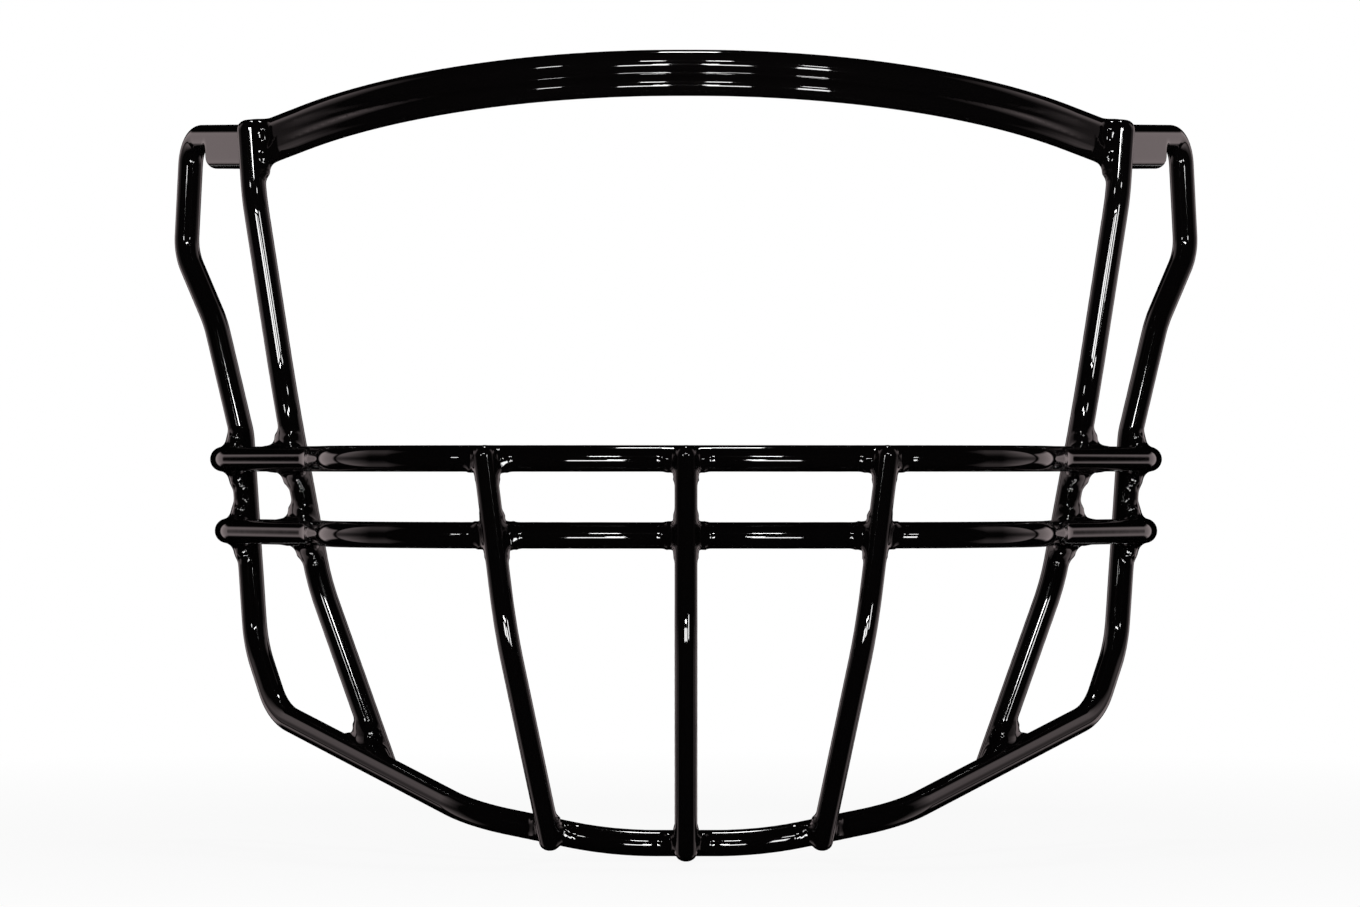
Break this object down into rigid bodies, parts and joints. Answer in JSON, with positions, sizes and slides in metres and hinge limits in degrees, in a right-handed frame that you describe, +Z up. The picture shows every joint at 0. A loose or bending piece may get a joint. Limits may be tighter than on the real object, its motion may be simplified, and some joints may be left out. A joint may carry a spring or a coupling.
{
  "type": "football helmet facemask",
  "caption": "Welded wire cage for the face opening of a football helmet: doubled brow bar, hooked side loops, wrap bars, eye bars and chin guard under black coating.",
  "frame": {"origin": "on the mirror plane, level with the axis of the upper wrap bar, in the plane of the two upper clip seats", "axes": "+X across the face, to the right as the front is looked at, -Y towards the front, +Z up"},
  "size_m": [0.2656, 0.1364, 0.1977],
  "materials": {
    "wire": "drawn wire, bare under the coating",
    "weld": "as welded, dull",
    "coating": "black dipped coating, high gloss"
  },
  "bodies": {
    "root": {"coating": "coating", "edge_wire": "wire", "brow_wire": "wire", "upper_wrap_wire": "wire", "lower_wrap_wire": "wire", "right_eye_wire": "wire", "left_eye_wire": "wire", "right_guard_wire": "wire", "middle_guard_wire": "wire", "left_guard_wire": "wire", "edge_butt_weld": "weld", "brow_tack_welds": "weld", "brow_eye_welds": "weld", "upper_loop_welds": "weld", "lower_loop_welds": "weld", "upper_eye_welds": "weld", "lower_eye_welds": "weld", "upper_guard_welds": "weld", "lower_guard_welds": "weld", "jaw_eye_welds": "weld", "jaw_guard_welds": "weld"}
  },
  "joints": []
}
